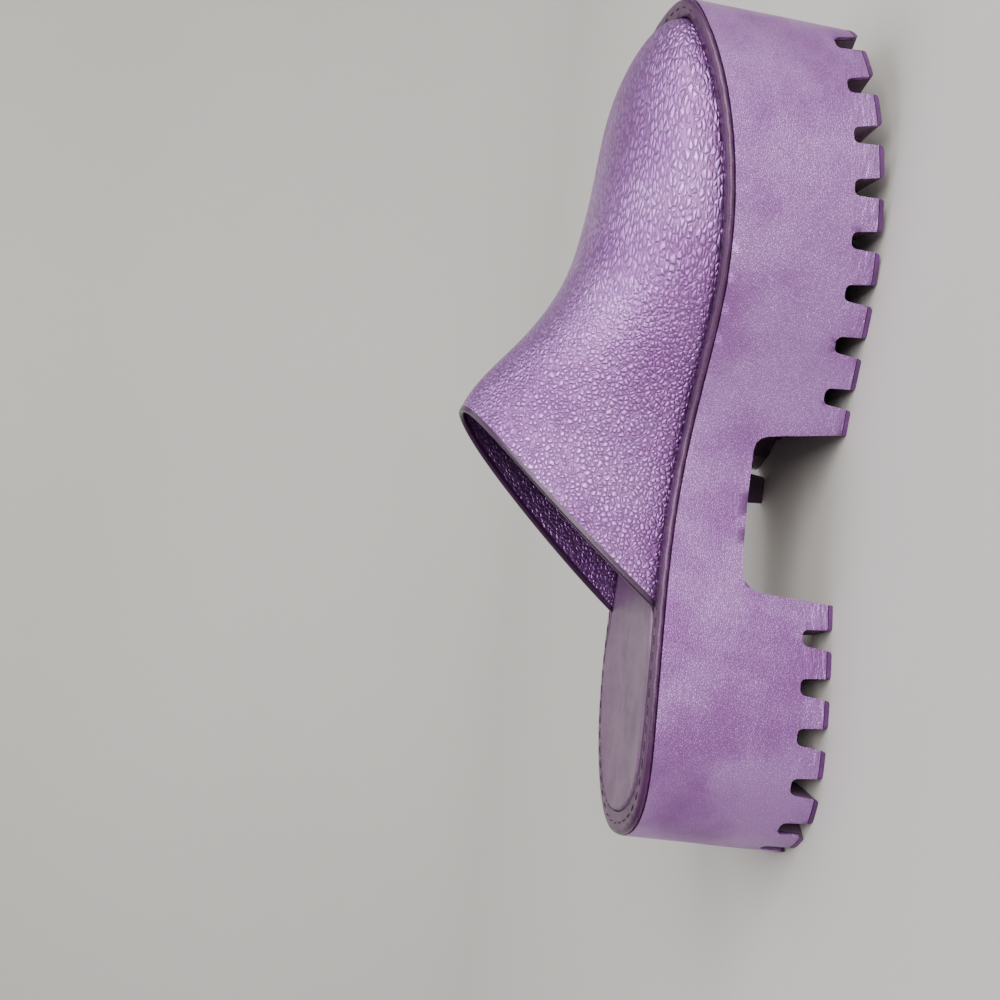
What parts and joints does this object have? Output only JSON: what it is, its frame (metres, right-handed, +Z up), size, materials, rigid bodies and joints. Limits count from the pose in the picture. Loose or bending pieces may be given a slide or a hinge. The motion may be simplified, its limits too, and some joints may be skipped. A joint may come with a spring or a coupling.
{
  "type": "platform mule",
  "caption": "Left platform mule with a closed round toe, an open back, a hollow leather upper and a thick wrapped sole with block lugs and an arch gap.",
  "frame": {"origin": "middle of the shoe's length and width, on the plane it stands on", "axes": "+X from heel to toe, +Y towards the lateral side, +Z up"},
  "size_m": [0.265, 0.1066, 0.1179],
  "materials": {
    "upper_leather": "metallic lilac, pebbled",
    "wrap_leather": "metallic lilac, fine grain",
    "border_strip": "satin plum",
    "sock": "satin grey plum",
    "block": "dull plum foam"
  },
  "bodies": {
    "root": {"platform": "block", "platform_wrap": "wrap_leather", "rand": "border_strip", "insole": "sock", "upper": "upper_leather"}
  },
  "joints": []
}
